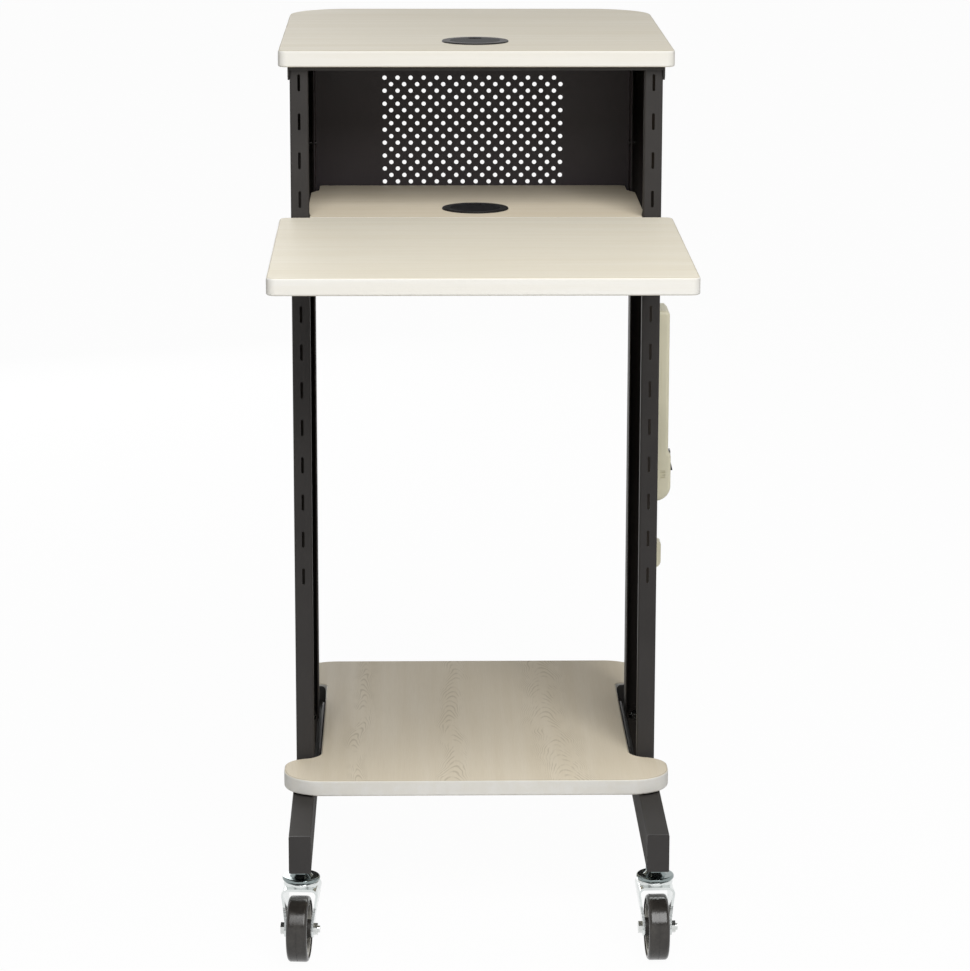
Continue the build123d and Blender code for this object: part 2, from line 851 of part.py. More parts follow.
def bottom_screw_places():
    """Where screws hold the bottom board to its brackets."""
    x = column_inner - bracket_inboard + small_inset
    first = -bracket_lead + bottom_screw_inset
    last = column_depth + bracket_lead - bottom_screw_inset
    step = (last - first) / (board_screw_rows - 1)
    rows = [first + step * row for row in range(board_screw_rows)]
    return [(side * x, y) for side in (-1, 1) for y in rows]


def bottom_bracket():
    """Plate between tube and column, under the board, with an upright and a rear ear in the notch."""
    inner = column_inner - bracket_inboard
    low, high = tube_top, bottom_board_z
    plate = block(inner, column_outer, -bracket_lead, column_depth + bracket_lead, low, high)
    x0 = notch_wall + bracket_upright_gap
    end = column_depth - bracket_upright_back
    upright = block(x0, x0 + bracket_sheet, bracket_upright_front, end, low, high + bracket_upright)
    upright = fillet(upright.edges().filter_by(Axis.X).sort_by(Axis.Z)[-2:], bracket_round)
    rear = notch_rear - notch_end_round
    ear = block(x0, column_outer, rear - bracket_sheet, rear, low, high + board_thickness)
    ear = fillet(ear.edges().filter_by(Axis.Y).sort_by(Axis.Z)[-2:], bracket_round)
    holes = []
    for x, y in bottom_screw_places():
        if x > 0:
            holes.append(rod_z(screw_radius + screw_fit, low - overrun, high + overrun, x, y))
    for y in bolt_places():
        holes.append(rod_z(bolt_radius + screw_fit, low - overrun, high + overrun, column_middle, y))
    return plate + upright + ear - holes


# Shelf arms


def shelf_screw_places():
    """Where screws hold both halves of the long board to the arms."""
    x = column_inner - arm_inboard + shelf_screw_inset
    front = (-arm_reach + shelf_screw_inset, -arm_reach / 2, -shelf_screw_inset)
    rear = (shelf_screw_inset, arm_rear / 2, arm_rear - shelf_screw_inset)
    return [(side * x, y) for side in (-1, 1) for y in front + rear]


def shelf_hooks():
    """The two hooks of the right arm, in two neighbouring slots of the column."""
    x0 = column_middle - arm_sheet / 2
    x1 = column_middle + arm_sheet / 2
    hooks = []
    for slot_z in (upper_hook_z, lower_hook_z):
        low = slot_z - slot_length / 2 + hook_seat
        behind = sheet + running_gap
        hooks.append(block(x0, x1, -arm_front_gap, behind + hook_tail, low, low + hook_neck))
        hooks.append(block(x0, x1, behind, behind + hook_tail, low - hook_drop, low + hook_neck))
    return hooks


def shelf_arm():
    """Right arm: a flat plate under the board, a tapered web with the hooks, and a stiffening lip."""
    top = long_board_z
    inner = column_inner - arm_inboard
    web_outer = column_middle + arm_sheet / 2
    plate = block(inner, web_outer, -arm_reach, -arm_front_gap, top - arm_sheet, top)
    plate += block(inner, column_inner - arm_side_gap, -arm_front_gap, arm_rear, top - arm_sheet, top)
    taper = [(-arm_front_gap, top), (-arm_reach, top), (-arm_reach, top - arm_tip_height)]
    taper += [(-arm_front_gap - arm_tip_height, top - arm_height), (-arm_front_gap, top - arm_height)]
    face = make_face(Plane.YZ * Polyline(*taper, close=True))
    web = Pos(web_outer - arm_sheet, 0, 0) * extrude(face, arm_sheet, dir=(1, 0, 0))
    lip = block(inner, inner + arm_sheet, -arm_reach, arm_rear, top - arm_lip, top)
    holes = []
    for x, y in shelf_screw_places():
        if x > 0:
            holes.append(rod_z(screw_radius + screw_fit, top - arm_sheet - overrun, top + overrun, x, y))
    return plate + web + lip + shelf_hooks() - holes


def shelf_brace():
    """Channel between the two arms, under the front half of the board."""
    x1 = column_inner - arm_inboard
    y1 = -brace_back
    y0 = y1 - brace_width
    top = long_board_z
    brace = block(-x1, x1, y0, y1, top - arm_sheet, top)
    brace += block(-x1, x1, y0, y0 + arm_sheet, top - arm_lip, top)
    return brace + block(-x1, x1, y1 - arm_sheet, y1, top - arm_lip, top)


def shelf_screws():
    """Wood screws of the long board."""
    seat = long_board_z - arm_sheet
    return group([screw_up(x, y, seat) for x, y in shelf_screw_places()])


# Cable grommets


def grommet_liner(y, top):
    """Liner pressed into a board: flange on top, tube in the hole, ledge under the cap."""
    outer = grommet_hole - grommet_fit
    flange = rod_z(grommet_flange, top, top + grommet_flange_height, 0, y)
    flange = fillet(flange.edges().filter_by(GeomType.CIRCLE).sort_by(Axis.Z)[-1], grommet_flange_height / 2)
    tube = rod_z(outer, top - grommet_tube, top, 0, y)
    seat = top + grommet_flange_height - grommet_cap_height - running_gap
    liner = flange + tube
    liner -= rod_z(grommet_cap + running_gap, seat, top + overrun, 0, y)
    liner -= rod_z(grommet_cap - grommet_ledge, seat - overrun, top + overrun, 0, y)
    return liner - rod_z(outer - grommet_wall, top - grommet_tube - overrun, seat - grommet_wall, 0, y)


def grommet_cap_at(y, top):
    """Turning cap with a round-ended notch for cables."""
    high = top + grommet_flange_height
    low = high - grommet_cap_height
    cap = rod_z(grommet_cap, low, high, 0, y)
    half = grommet_notch / 2
    end_y = y + grommet_cap - grommet_notch_depth + half
    cap -= rod_z(half, low - overrun, high + overrun, 0, end_y)
    return cap - block(-half, half, end_y, y + grommet_flange, low - overrun, high + overrun)


# Power strip


def strip_middle():
    """Middle of the power strip's depth."""
    return strip_front + strip_depth / 2


def strip_top():
    """Upper end of the power strip."""
    return strip_bottom + strip_height


def strip_body():
    """The strip's whole outer shape, before it is split into shell and cover."""
    step_top = strip_bottom + strip_step_rise
    wide = strip_outer + strip_step
    points = [(strip_x, strip_bottom), (wide, strip_bottom), (wide, step_top - strip_step)]
    points += [(strip_outer, step_top), (strip_outer, strip_top() - strip_top_chamfer)]
    points += [(strip_outer - strip_top_chamfer, strip_top())]
    points += [(strip_x, strip_top())]
    radii = [0, strip_bottom_round, strip_step, strip_step, sheet, sheet, 0]
    face = make_face(Plane.XZ * FilletPolyline(*points, radius=radii, close=True))
    body = Pos(0, strip_front, 0) * extrude(face, strip_depth, dir=(0, 1, 0))
    rims = [end.outer_wire().edges().filter_by(lambda edge: edge.center().X > strip_x + overrun)
            for end in (body.faces().sort_by(Axis.Y)[0], body.faces().sort_by(Axis.Y)[-1])]
    body = fillet(rims[0] + rims[1], strip_side_round)
    low = strip_x + strip_back_thickness
    ribs = []
    for number in range(rib_count):
        z = strip_bottom + rib_rise + number * rib_pitch
        ribs.append(block(low, low + rib_reach, strip_front - overrun, strip_front + rib_depth, z, z + rib_width))
    return body - ribs - strip_seam_ring()


def strip_seam_ring():
    """The fine groove all round where the cover meets the back shell."""
    low = strip_x + strip_back_thickness
    high = low + strip_seam
    rear = strip_front + strip_depth
    ring = block(low, high, strip_front - overrun, rear + overrun, strip_bottom - overrun, strip_top() + overrun)
    y0, y1 = strip_front + strip_seam, rear - strip_seam
    return ring - block(low, high, y0, y1, strip_bottom + strip_seam, strip_top() - strip_seam)


def strip_room():
    """The hollow inside the strip."""
    low_z = strip_bottom + strip_bottom_round
    high_z = strip_top() - strip_wall - strip_top_chamfer
    y0 = strip_front + strip_wall + rib_depth
    y1 = strip_front + strip_depth - strip_wall
    return block(strip_x + strip_wall, strip_outer - strip_wall, y0, y1, low_z, high_z)


def strip_screw_places():
    """Screws that hold the back shell to the column: head seat, along -X."""
    x = strip_x + strip_wall
    low = strip_bottom + strip_step_rise
    high = strip_top() - strip_wall - small_inset
    return [(x, strip_middle(), z) for z in (low, high)]


def screw_minus_x(x, y, z):
    """A small screw along -X with its head on the +X side of x."""
    head = rod_x(small_head_radius, x, x + small_head, y, z)
    return head + rod_x(small_radius, x - small_length, x, y, z)


def strip_back():
    """Back shell of the power strip, on the column."""
    split = strip_x + strip_back_thickness
    high = strip_top() + overrun
    keep = block(strip_x, split, strip_front - overrun, strip_front + strip_depth + overrun, 0, high)
    shell = (strip_body() & keep) - strip_room()
    return shell - [rod_x(small_radius + screw_fit, strip_x - overrun, strip_x + overrun, y, z)
                    for x, y, z in strip_screw_places()]


def socket_heights():
    """Centres of the sockets, from the top down."""
    return [strip_top() - socket_first_drop - number * socket_pitch for number in range(socket_count)]


def rocker_room():
    """Opening in the cover for the rocker."""
    swing = rocker_height / 2 * sin(radians(rocker_tilt)) + running_gap
    half = rocker_height / 2 + swing / 2 + running_gap
    z = strip_bottom + rocker_rise
    side = rocker_depth / 2 + running_gap
    x0 = strip_outer - strip_wall - overrun
    return block(x0, strip_outer + overrun, strip_middle() - side, strip_middle() + side, z - half, z + half)


def rocker_lugs():
    """Lugs inside the cover that carry the rocker's pin ends."""
    x0, z0 = rocker_pivot()
    half = rocker_lug_height / 2
    lugs = []
    for side in (1, -1):
        near = strip_middle() + side * (rocker_depth / 2 + running_gap)
        far = near + side * rocker_lug
        lugs.append(block(x0 - half, strip_outer, min(near, far), max(near, far), z0 - half, z0 + half))
    return lugs


def rocker_bore():
    """Bore through both lugs for the rocker's pin ends."""
    x, z = rocker_pivot()
    reach = rocker_depth / 2 + running_gap + rocker_lug
    return rod_y(rocker_pin + axle_fit, strip_middle() - reach, strip_middle() + reach, x, z)


def strip_cover():
    """Cover of the power strip, with holes for sockets, rocker and gland."""
    split = strip_x + strip_back_thickness
    high = strip_top() + overrun
    far = strip_outer + overrun
    keep = block(split, far, strip_front - overrun, strip_front + strip_depth + overrun, 0, high)
    cover = (strip_body() & keep) - strip_room()
    holes = [rod_x(socket_radius + screw_fit, strip_outer - socket_radius, far, strip_middle(), z)
             for z in socket_heights()]
    y1 = strip_front + strip_depth
    x, z = gland_place()
    holes.append(rod_y(gland_neck + screw_fit, y1 - overrun, y1 + overrun, x, z))
    return cover - holes - rocker_room() + rocker_lugs() - rocker_bore()


def socket(z):
    """One socket face with two blade slots and a round earth hole."""
    y = strip_middle()
    disc = rod_x(socket_radius, strip_outer - socket_thickness, strip_outer, y, z)
    back, front = strip_outer - socket_thickness - overrun, strip_outer + overrun
    cuts = [rod_x(ground_radius, back, front, y, z - ground_drop)]
    for side in (1, -1):
        middle = y + side * blade_spread / 2
        low = z - blade_height / 4
        y0, y1 = middle - blade_width / 2, middle + blade_width / 2
        cuts.append(block(back, front, y0, y1, low, low + blade_height))
    return disc - cuts


def sockets():
    """All socket faces of the strip."""
    return group([socket(z) for z in socket_heights()])


def rocker_pivot():
    """The rocker's axis: its X and Z."""
    return strip_outer + strip_step - rocker_pivot_depth, strip_bottom + rocker_rise


def power_rocker():
    """Rocker of the power switch, pressed in at its upper end, with its pin ends."""
    half = rocker_height / 2
    front = rocker_pivot_depth + rocker_proud - half * sin(radians(rocker_tilt))
    dish = front - rocker_dish
    points = [(-rocker_back, half / 2), (front - rocker_back, half), (front, half), (dish, 0), (front, -half)]
    points += [(front - rocker_back, -half), (-rocker_back, -half / 2)]
    face = make_face(Plane.XZ * Polyline(*points, close=True))
    body = Pos(0, -rocker_depth / 2, 0) * extrude(face, rocker_depth, dir=(0, 1, 0))
    pin_half = rocker_depth / 2 + rocker_pin_reach
    body += rod_y(rocker_pin, -pin_half, pin_half, 0, 0)
    x, z = rocker_pivot()
    return Pos(x, strip_middle(), z) * Rot(0, -rocker_tilt, 0) * body


def gland_place():
    """Axis of the cord gland, on the rear side of the strip: its X and Z."""
    return strip_x + (strip_thickness + strip_back_thickness) / 2, strip_bottom + gland_rise


def cord_gland():
    """Gland that the supply cord would leave through."""
    x, z = gland_place()
    y1 = strip_front + strip_depth
    collar = rod_y(gland_radius, y1, y1 + gland_length, x, z)
    neck = rod_y(gland_neck, y1 - strip_wall, y1, x, z)
    return collar + neck - rod_y(gland_bore, y1 - overrun, y1 + gland_length + overrun, x, z)


# Cord cleat


def cleat_screw_places():
    """Screws that hold the cleat to the column: head seat, along -X."""
    x = column_outer + cleat_base
    high = cleat_bottom + cleat_height - cleat_round
    return [(x, strip_middle() + side * small_inset / 2, high) for side in (1, -1)]


def cord_cleat():
    """Open hook on which a cord can be hung: base, arm and upturned lip."""
    x0 = column_outer
    x1 = x0 + cleat_reach
    z0, z1 = cleat_bottom, cleat_bottom + cleat_height
    lip = x1 - cleat_lip
    points = [(x0, z0), (x1, z0), (x1, z1), (lip, z1), (lip, z0 + cleat_arm)]
    points += [(x0 + cleat_base, z0 + cleat_arm), (x0 + cleat_base, z1), (x0, z1)]
    tip = cleat_lip / 2 - screw_fit
    small = cleat_base / 2
    radii = [0, cleat_round, tip, tip, small, small, small, 0]
    face = make_face(Plane.XZ * FilletPolyline(*points, radius=radii, close=True))
    y0 = strip_middle() - cleat_width / 2
    cleat = Pos(0, y0, 0) * extrude(face, cleat_width, dir=(0, 1, 0))
    return cleat - [rod_x(small_radius + screw_fit, x0 - overrun, x0 + overrun, y, z)
                    for x, y, z in cleat_screw_places()]


def small_screws():
    """The identical small screws of pan, panel, power strip and cleat."""
    screws = []
    for x, y, z, length in panel_screw_places() + pan_screw_places():
        screw = small_screw_x(x, y, z, length)
        screws += [screw, side_copy(screw, -1)]
    screws += [screw_minus_x(x, y, z) for x, y, z in strip_screw_places() + cleat_screw_places()]
    return group(screws)


def write_node(name, shape):
    """Move a finished piece to the object's origin and write it."""
    export_step(to_origin * shape, os.path.join("parts", name + ".step"))


def write_casters():
    """Every caster in its own nodes; the rear ones have a brake."""
    for corner, place in caster_places().items():
        braked = corner.startswith("rear")
        write_node("caster_mount_" + corner, place * caster_mount())
        write_node("caster_fork_" + corner, place * (braked_fork() if braked else fork()))
        write_node("wheel_axle_" + corner, place * axle())
        write_node("wheel_core_" + corner, place * wheel_core())
        write_node("tyre_" + corner, place * tyre())
        if braked:
            write_node("pedal_pin_" + corner, place * pedal_pin())
            write_node("brake_pedal_" + corner, place * pedal())


def write_frame():
    """Base, columns, pan, panel and the fixed boards."""
    for name, side in (("left", -1), ("right", 1)):
        write_node("base_tube_" + name, side_copy(base_tube(), side))
        write_node("bottom_bracket_" + name, side_copy(bottom_bracket(), side))
        write_node("shelf_arm_" + name, side_copy(shelf_arm(), side))
    write_node("column_left", side_copy(column(), -1))
    write_node("column_right", column() - strip_side_holes())
    write_node("tube_end_plugs", end_plugs())
    write_node("caster_nuts", caster_nuts())
    write_node("column_bolts", column_bolts())
    write_node("column_nuts", column_nuts())
    write_node("top_pan", top_pan())
    write_node("back_panel", back_panel())
    write_node("small_screws", small_screws())


def write_boards():
    """The boards, their screws and the cable grommets."""
    write_node("top_board", top_board())
    write_node("bottom_board", bottom_board())
    write_node("board_screws", board_screws())
    write_node("long_board_front", long_board_front())
    write_node("long_board_rear", long_board_rear())
    write_node("shelf_brace", shelf_brace())
    write_node("shelf_screws", shelf_screws())
    for name, y, top in (("top", top_grommet, overall_height), ("long_board", long_grommet, long_board_top)):
        write_node("grommet_liner_" + name, grommet_liner(y, top))
        write_node("grommet_cap_" + name, grommet_cap_at(y, top))


def write_strip():
    """Power strip and cord cleat on the right column."""
    write_node("strip_back", strip_back())
    write_node("strip_cover", strip_cover())
    write_node("strip_sockets", sockets())
    write_node("power_rocker", power_rocker())
    write_node("cord_gland", cord_gland())
    write_node("cord_cleat", cord_cleat())


def main():
    os.makedirs("parts", exist_ok=True)
    write_casters()
    write_frame()
    write_boards()
    write_strip()


main()
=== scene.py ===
# Looks of the audio visual cart: materials, light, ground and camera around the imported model.
# Everything is in metres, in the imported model's own frame.
import json
from math import cos, pi, sin

import bpy
from mathutils import Matrix, Vector


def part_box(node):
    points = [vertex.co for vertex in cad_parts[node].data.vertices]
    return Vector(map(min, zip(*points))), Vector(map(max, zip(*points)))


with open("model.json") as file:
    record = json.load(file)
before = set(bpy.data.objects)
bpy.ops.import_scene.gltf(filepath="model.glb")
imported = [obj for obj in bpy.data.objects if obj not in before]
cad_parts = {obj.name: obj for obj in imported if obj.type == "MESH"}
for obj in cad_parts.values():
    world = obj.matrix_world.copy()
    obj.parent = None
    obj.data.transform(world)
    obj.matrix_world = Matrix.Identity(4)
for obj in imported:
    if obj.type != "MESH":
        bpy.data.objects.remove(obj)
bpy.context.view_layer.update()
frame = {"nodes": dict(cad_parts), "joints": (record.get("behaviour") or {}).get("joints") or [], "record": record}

nodes = frame["nodes"]
MM = 0.001
WHITE = (1, 1, 1, 1)

# Places that the camera is measured from
board_low, board_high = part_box("top_board")
middle_x = (board_low.x + board_high.x) / 2
column_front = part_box("column_left")[0].y


# Materials


def linear(red, green, blue):
    """A colour written as 0 to 255, as the shader's linear values, by the sRGB curve."""
    full = 255
    dark_end, dark_slope = 0.04045, 12.92
    lift, power = 0.055, 2.4
    parts = []
    for level in (red, green, blue):
        share = level / full
        bright = ((share + lift) / (1 + lift)) ** power
        parts.append(share / dark_slope if share <= dark_end else bright)
    return (*parts, 1.0)


def scaled(colour, share):
    """A colour made darker or lighter by a share, and no lighter than full."""
    return tuple(min(1.0, part * share) for part in colour[:3]) + (1.0,)


class Recipe:
    """A material under construction: short ways to add nodes and to join them."""

    def __init__(self, name):
        self.material = bpy.data.materials.new(name)
        self.material.use_nodes = True
        self.tree = self.material.node_tree
        self.shader = self.tree.nodes["Principled BSDF"]
        self.place = self.add("ShaderNodeTexCoord").outputs["Object"]

    def add(self, kind, **settings):
        node = self.tree.nodes.new(kind)
        for name, value in settings.items():
            setattr(node, name, value)
        return node

    def join(self, source, target):
        self.tree.links.new(source, target)

    def set(self, **values):
        for name, value in values.items():
            self.shader.inputs[name.replace("_", " ")].default_value = value

    def split(self, vector):
        """The X, Y and Z of a vector."""
        node = self.add("ShaderNodeSeparateXYZ")
        self.join(vector, node.inputs["Vector"])
        return node.outputs

    def stretch(self, scale, offset=(0, 0, 0)):
        """The place on the object, stretched by a scale for each axis."""
        node = self.add("ShaderNodeMapping")
        node.inputs["Scale"].default_value = scale
        node.inputs["Location"].default_value = offset
        self.join(self.place, node.inputs["Vector"])
        return node.outputs["Vector"]

    def noise(self, place, scale=1.0, detail=3.0, rough=0.5):
        node = self.add("ShaderNodeTexNoise")
        node.inputs["Scale"].default_value = scale
        node.inputs["Detail"].default_value = detail
        node.inputs["Roughness"].default_value = rough
        self.join(place, node.inputs["Vector"])
        return node.outputs["Fac"]

    def math(self, operation, first, second=0.0, third=0.0):
        node = self.add("ShaderNodeMath", operation=operation)
        for socket, value in zip(node.inputs, (first, second, third)):
            if isinstance(value, (int, float)):
                socket.default_value = value
            else:
                self.join(value, socket)
        return node.outputs[0]

    def vector_math(self, operation, first, second=(0, 0, 0)):
        """A step on two vectors: the first one is joined and the second one is fixed."""
        node = self.add("ShaderNodeVectorMath", operation=operation)
        self.join(first, node.inputs[0])
        node.inputs[1].default_value = second
        return node.outputs

    def spread(self, value, low, high, to_low=0.0, to_high=1.0):
        """A value from low to high, carried over smoothly to a new range."""
        node = self.add("ShaderNodeMapRange", interpolation_type="SMOOTHSTEP")
        self.join(value, node.inputs["Value"])
        for name, number in (("From Min", low), ("From Max", high), ("To Min", to_low), ("To Max", to_high)):
            node.inputs[name].default_value = number
        return node.outputs["Result"]

    def blend(self, factor, first, second, mode="MIX"):
        node = self.add("ShaderNodeMix", data_type="RGBA", blend_type=mode)
        sockets = [socket for socket in node.inputs if socket.type == "RGBA"]
        if isinstance(factor, (int, float)):
            node.inputs["Factor"].default_value = factor
        else:
            self.join(factor, node.inputs["Factor"])
        for socket, value in zip(sockets, (first, second)):
            if isinstance(value, tuple):
                socket.default_value = value
            else:
                self.join(value, socket)
        return [socket for socket in node.outputs if socket.type == "RGBA"][0]

    def inside(self, low, high):
        """A factor of 1 within a box and 0 outside it."""
        factor = 1.0
        for value, least, most in zip(self.split(self.place), low, high):
            above = self.math("GREATER_THAN", value, least)
            below = self.math("LESS_THAN", value, most)
            factor = self.math("MULTIPLY", factor, self.math("MULTIPLY", above, below))
        return factor

    def bump(self, height, distance):
        node = self.add("ShaderNodeBump")
        node.inputs["Distance"].default_value = distance
        self.join(height, node.inputs["Height"])
        self.join(node.outputs["Normal"], self.shader.inputs["Normal"])

    def colour(self, socket):
        self.join(socket, self.shader.inputs["Base Color"])

    def roughness(self, socket):
        self.join(socket, self.shader.inputs["Roughness"])


def grained(along, across_scale, along_scale):
    """A noise scale for X, Y and Z that has another value along the grain."""
    scale = [across_scale] * 3
    scale[along] = along_scale
    return scale


def grain_lines(mix, across, length, bands):
    """Thin lines that arch along each band of grain and fade out beside it."""
    full_share, end_share = 0.5, 1.3
    trough, crest = 0.1, 1.0
    lines = 0.0
    for centre, lean, half_width, bend, pitch in bands:
        offset = mix.math("SUBTRACT", across, mix.math("MULTIPLY_ADD", length, lean, centre))
        fall = mix.math("MULTIPLY", mix.math("MULTIPLY", offset, offset), 1 / bend)
        wave = mix.math("SINE", mix.math("MULTIPLY", mix.math("ADD", length, fall), 2 * pi / pitch))
        aside = mix.math("ABSOLUTE", offset)
        near = mix.spread(aside, half_width * full_share, half_width * end_share, 1.0, 0.0)
        lines = mix.math("MAXIMUM", lines, mix.math("MULTIPLY", mix.spread(wave, trough, crest), near))
    return lines


def laminate(name, along, bands, seed, tint=(1, 1, 1)):
    """Ivory woodgrain laminate with a plain, whiter edge. Along is the grain's axis, 0 for X and 1 for Y. The last
    argument is a colour that multiplies the whole tone: painted light, making a board lighter and warmer as if lit
    more and by warm bounce light.
    """
    wander_scales, wander_width = (9.0, 7.0), 0.05
    break_scales, break_range = (70.0, 22.0), (0.38, 0.6)
    pore_scales, pore_range = (900.0, 22.0), (0.35, 0.75)
    streak_scales, streak_range, faint_range = (60.0, 2.0), (0.3, 0.7), (0.35, 0.65)
    patch_scale, patch_range = 5.0, (0.35, 0.75)
    pore_share, line_share, patch_share, faint_share, arris_share = 0.16, 0.42, 0.2, 0.5, 0.5
    face_levels, arris_start_levels, arris_end_levels = (0.5, 0.9), (0.80, 0.92), (0.97, 0.995)
    rough_range, rough, rougher = (0.2, 0.8), 0.56, 0.66
    grain_height, pore_height, line_height = 0.06 * MM, -0.6, -0.8
    mix = Recipe(name)
    parts = mix.split(mix.place)
    across, length = parts[1 - along], parts[along]

    wander = mix.noise(mix.stretch(grained(along, *wander_scales), (seed, seed, 0)))
    across = mix.math("ADD", across, mix.math("MULTIPLY_ADD", wander, wander_width, -wander_width / 2))
    breaks = mix.noise(mix.stretch(grained(along, *break_scales)))
    lines = mix.math("MULTIPLY", grain_lines(mix, across, length, bands), mix.spread(breaks, *break_range))
    pores = mix.spread(mix.noise(mix.stretch(grained(along, *pore_scales)), rough=0.6), *pore_range)
    streaks = mix.noise(mix.stretch(grained(along, *streak_scales), (seed, 0, 0)), detail=4.0, rough=0.6)
    patch = mix.noise(mix.place, patch_scale, detail=2.0)

    tone = mix.blend(mix.spread(streaks, *streak_range), linear(229, 223, 208), linear(225, 218, 201))
    tone = mix.blend(mix.math("MULTIPLY", pores, pore_share), tone, linear(205, 195, 172))
    tone = mix.blend(mix.math("MULTIPLY", lines, line_share), tone, linear(172, 161, 136))
    tone = mix.blend(mix.spread(patch, *patch_range, 0.0, patch_share), tone, linear(222, 213, 192))
    # Painted light: the whole tone is multiplied by a colour that makes some boards lighter and warmer, as if lit
    # more and by warm bounce light.
    tone = mix.blend(1.0, tone, (*tint, 1.0), "MULTIPLY")

    facing = mix.split(mix.add("ShaderNodeTexCoord").outputs["Normal"])
    level = mix.math("ABSOLUTE", facing["Z"])
    faint = mix.spread(streaks, *faint_range, 0.0, faint_share)
    edge = mix.blend(faint, linear(230, 228, 222), linear(224, 220, 209))
    tone = mix.blend(mix.spread(level, *face_levels), edge, tone)
    arris_end = mix.spread(level, *arris_end_levels, 1.0, 0.0)
    arris = mix.math("MULTIPLY", mix.spread(level, *arris_start_levels), arris_end)
    mix.colour(mix.blend(mix.math("MULTIPLY", arris, arris_share), tone, linear(150, 140, 118)))
    mix.roughness(mix.spread(streaks, *rough_range, rough, rougher))
    mix.set(Specular_IOR_Level=0.15)
    grain = mix.math("MULTIPLY_ADD", lines, line_height, streaks)
    mix.bump(mix.math("ADD", mix.math("MULTIPLY", pores, pore_height), grain), grain_height)
    return mix.material


def powder_coat(name, base, rough, specular, hollow=None):
    """Satin powder coat with fine orange peel, a little duller in patches, and dull inside a hollow box."""
    peel_scale, swell_scale, patch_scale = 1400.0, 260.0, 9.0
    tone_range, rough_range = (0.3, 0.7), (0.25, 0.75)
    lighter_share, swell_share = 1.25, 0.6
    duller = 0.07
    peel_height = 0.04 * MM
    mix = Recipe(name)
    peel = mix.noise(mix.place, peel_scale, detail=2.0)
    swell = mix.noise(mix.place, swell_scale, detail=2.0)
    patch = mix.noise(mix.place, patch_scale)
    tone = mix.blend(mix.spread(patch, *tone_range), base, scaled(base, lighter_share))
    roughness = mix.spread(patch, *rough_range, rough, rough + duller)
    if hollow:
        inside = mix.inside(*hollow)
        tone = mix.blend(inside, tone, linear(70, 66, 63))
        roughness = mix.math("MAXIMUM", roughness, inside)
        gloss = mix.math("MULTIPLY_ADD", inside, -specular, specular)
        mix.join(gloss, mix.shader.inputs["Specular IOR Level"])
    mix.colour(tone)
    mix.roughness(roughness)
    mix.set(Specular_IOR_Level=specular)
    mix.bump(mix.math("MULTIPLY_ADD", swell, swell_share, peel), peel_height)
    return mix.material


def plated(name, base, rough):
    """Plated or bare metal: smooth, with faint streaks from the forming dies."""
    streak_scales = (60.0, 60.0, 420.0)
    cloud_scale, cloud_share = 45.0, 0.86
    cloud_range, streak_range = (0.3, 0.75), (0.3, 0.7)
    duller = 0.08
    streak_height = 0.03 * MM
    mix = Recipe(name)
    streak = mix.noise(mix.stretch(streak_scales))
    cloud = mix.noise(mix.place, cloud_scale)
    mix.set(Metallic=1.0)
    mix.colour(mix.blend(mix.spread(cloud, *cloud_range), base, scaled(base, cloud_share)))
    mix.roughness(mix.spread(streak, *streak_range, rough, rough + duller))
    mix.bump(streak, streak_height)
    return mix.material


def plastic(name, base, rough, specular=0.5, grain=0.03 * MM):
    """Moulded plastic with a fine spark-eroded grain and slight tone drift."""
    grain_scale, patch_scale = 900.0, 14.0
    patch_range, grain_range = (0.3, 0.75), (0.3, 0.7)
    patch_share = 0.88
    duller = 0.08
    mix = Recipe(name)
    texture = mix.noise(mix.place, grain_scale, detail=2.0, rough=0.6)
    patch = mix.noise(mix.place, patch_scale)
    mix.colour(mix.blend(mix.spread(patch, *patch_range), base, scaled(base, patch_share)))
    mix.roughness(mix.spread(texture, *grain_range, rough, rough + duller))
    mix.set(Specular_IOR_Level=specular)
    mix.bump(texture, grain)
    return mix.material


def rubber(name):
    """Dark brown-black tyre, polished, with duller patches of dust."""
    dust_scale, fine_scale = 60.0, 800.0
    tone_range, rough_range = (0.35, 0.8), (0.3, 0.75)
    polished, dusty = 0.17, 0.27
    fine_height = 0.04 * MM
    mix = Recipe(name)
    dust = mix.noise(mix.place, dust_scale, detail=4.0, rough=0.65)
    fine = mix.noise(mix.place, fine_scale, detail=2.0)
    mix.colour(mix.blend(mix.spread(dust, *tone_range), linear(44, 41, 38), linear(64, 61, 57)))
    mix.roughness(mix.spread(dust, *rough_range, polished, dusty))
    mix.set(Specular_IOR_Level=0.5)
    mix.bump(fine, fine_height)
    return mix.material


def wheel_plastic_painted_shade(name, centre, axis):
    """A wheel's core: pale grey at the rim and the hub, and painted shade in the recess between them, a dark tone
    where shade falls.
    """
    rim_start, rim_full = 25.2 * MM, 26.2 * MM
    hub_full, hub_end = 8.5 * MM, 9.5 * MM
    dust_scale, fine_scale = 130.0, 900.0
    tone_range, rough_range = (0.3, 0.75), (0.3, 0.7)
    clean, dusty = 0.42, 0.55
    fine_height = 0.03 * MM
    mix = Recipe(name)
    arm = mix.vector_math("SUBTRACT", mix.place, centre)[0]
    across = mix.vector_math("CROSS_PRODUCT", arm, axis)[0]
    radius = mix.vector_math("LENGTH", across)["Value"]
    rim = mix.spread(radius, rim_start, rim_full)
    hub = mix.spread(radius, hub_full, hub_end, 1.0, 0.0)
    pale = mix.math("MAXIMUM", rim, hub)
    dust = mix.noise(mix.place, dust_scale, detail=4.0, rough=0.6)
    grey = mix.blend(mix.spread(dust, *tone_range), linear(206, 204, 196), linear(182, 179, 170))
    # Painted shade: the recess between the rim and the hub is painted dark.
    mix.colour(mix.blend(pale, linear(44, 41, 38), grey))
    mix.roughness(mix.spread(dust, *rough_range, clean, dusty))
    mix.bump(mix.noise(mix.place, fine_scale, detail=2.0), fine_height)
    return mix.material


def channel(node):
    """The corners of a column's box less a thin skin: the room inside it, without its outer faces."""
    skin_depth = 0.8 * MM
    low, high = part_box(node)
    skin = Vector((skin_depth, skin_depth, 0))
    return low + skin, high - skin


